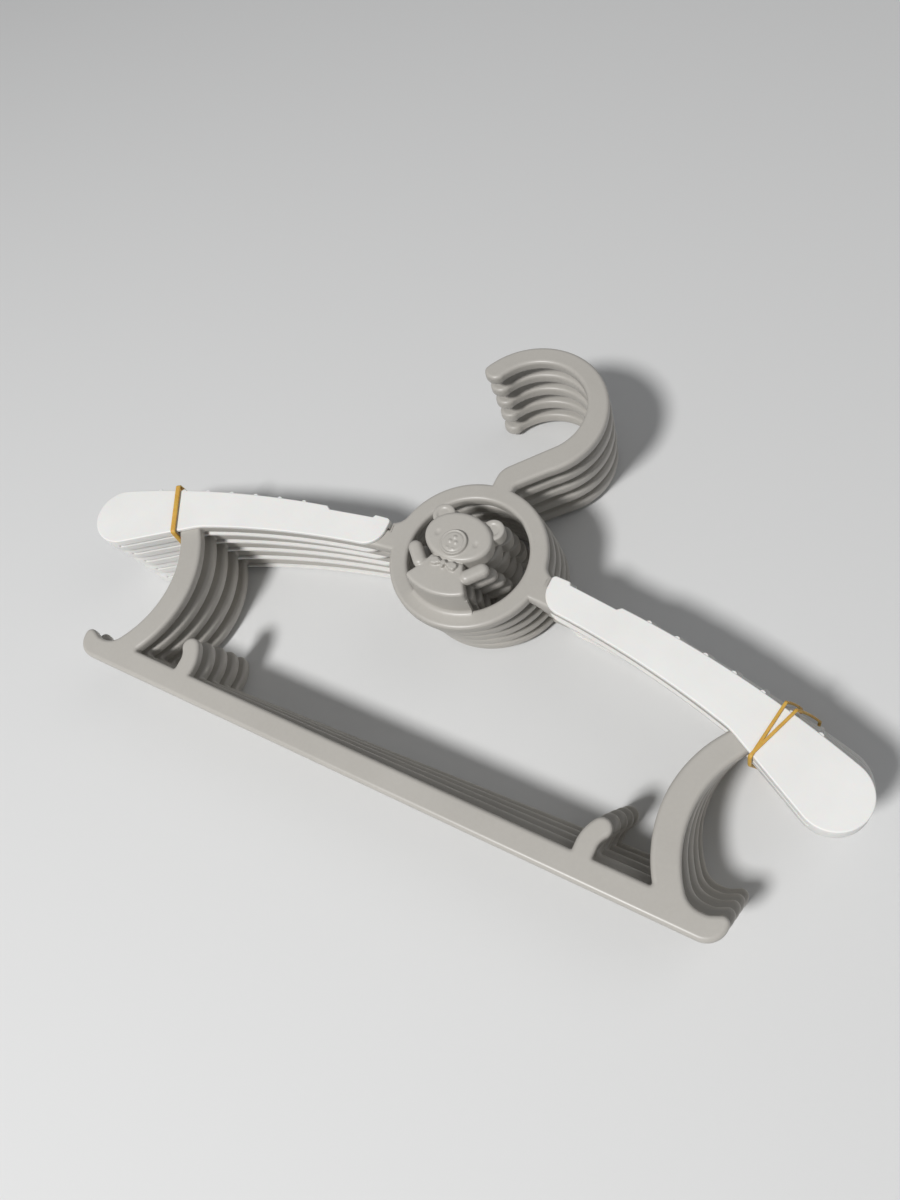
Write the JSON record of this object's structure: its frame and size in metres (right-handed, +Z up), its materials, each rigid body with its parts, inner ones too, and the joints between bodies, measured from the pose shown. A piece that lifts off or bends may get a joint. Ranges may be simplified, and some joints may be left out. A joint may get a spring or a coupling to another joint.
{
  "type": "childrens clothes hanger",
  "caption": "Flat bundle of adjustable children's clothes hangers with a bear standing in the ring, trouser bar and sliding shoulder sleeves, tied with rubber bands.",
  "frame": {"origin": "middle of the bundle's box, on the surface that the bundle lies on", "axes": "+X across the shoulders, to the right seen from above with the hooks away; +Y towards the hooks; +Z up through the stack"},
  "size_m": [0.2932, 0.1924, 0.0602],
  "materials": {
    "warm_grey_plastic": "satin moulded plastic",
    "white_plastic": "fine matte moulded plastic",
    "amber_rubber": "dull, slightly clear amber rubber"
  },
  "bodies": {
    "bundle": {"hanger_1_frame": "warm_grey_plastic", "hanger_2_frame": "warm_grey_plastic", "hanger_3_frame": "warm_grey_plastic", "hanger_4_frame": "warm_grey_plastic", "hanger_5_frame": "warm_grey_plastic", "left_rubber_band": "amber_rubber", "right_rubber_band": "amber_rubber"},
    "left_sleeve_1": {"hanger_1_left_sleeve": "white_plastic"},
    "right_sleeve_1": {"hanger_1_right_sleeve": "white_plastic"},
    "left_sleeve_2": {"hanger_2_left_sleeve": "white_plastic"},
    "right_sleeve_2": {"hanger_2_right_sleeve": "white_plastic"},
    "left_sleeve_3": {"hanger_3_left_sleeve": "white_plastic"},
    "right_sleeve_3": {"hanger_3_right_sleeve": "white_plastic"},
    "left_sleeve_4": {"hanger_4_left_sleeve": "white_plastic"},
    "right_sleeve_4": {"hanger_4_right_sleeve": "white_plastic"},
    "left_sleeve_5": {"hanger_5_left_sleeve": "white_plastic"},
    "right_sleeve_5": {"hanger_5_right_sleeve": "white_plastic"}
  },
  "joints": [
    {"name": "left_slide_1", "type": "hinge", "parent": "bundle", "child": "left_sleeve_1", "pos_m": [-0.0085, -0.34589, 0.0073], "axis": [0, 0, 1], "range_deg": [0, 6.12]},
    {"name": "right_slide_1", "type": "hinge", "parent": "bundle", "child": "right_sleeve_1", "pos_m": [0.0085, -0.34589, 0.0073], "axis": [0, 0, -1], "range_deg": [0, 6.12]},
    {"name": "left_slide_2", "type": "hinge", "parent": "bundle", "child": "left_sleeve_2", "pos_m": [-0.01168, -0.34852, 0.00753], "axis": [0, -0.0262, 0.9997], "range_deg": [0, 6.12]},
    {"name": "right_slide_2", "type": "hinge", "parent": "bundle", "child": "right_sleeve_2", "pos_m": [0.00532, -0.34869, 0.00752], "axis": [0, 0.0262, -0.9997], "range_deg": [0, 6.12]},
    {"name": "left_slide_3", "type": "hinge", "parent": "bundle", "child": "left_sleeve_3", "pos_m": [-0.01488, -0.35112, 0.00769], "axis": [-0.0003, -0.0523, 0.9986], "range_deg": [0, 6.12]},
    {"name": "right_slide_3", "type": "hinge", "parent": "bundle", "child": "right_sleeve_3", "pos_m": [0.00212, -0.35146, 0.00768], "axis": [0.0003, 0.0523, -0.9986], "range_deg": [0, 6.12]},
    {"name": "left_slide_4", "type": "hinge", "parent": "bundle", "child": "left_sleeve_4", "pos_m": [-0.01811, -0.35369, 0.00778], "axis": [-0.0008, -0.0785, 0.9969], "range_deg": [0, 6.12]},
    {"name": "right_slide_4", "type": "hinge", "parent": "bundle", "child": "right_sleeve_4", "pos_m": [-0.00111, -0.3542, 0.00776], "axis": [0.0008, 0.0785, -0.9969], "range_deg": [0, 6.12]},
    {"name": "left_slide_5", "type": "hinge", "parent": "bundle", "child": "left_sleeve_5", "pos_m": [-0.02136, -0.35623, 0.00781], "axis": [-0.0016, -0.1045, 0.9945], "range_deg": [0, 6.12]},
    {"name": "right_slide_5", "type": "hinge", "parent": "bundle", "child": "right_sleeve_5", "pos_m": [-0.00437, -0.35691, 0.00777], "axis": [0.0016, 0.1045, -0.9945], "range_deg": [0, 6.12]}
  ]
}
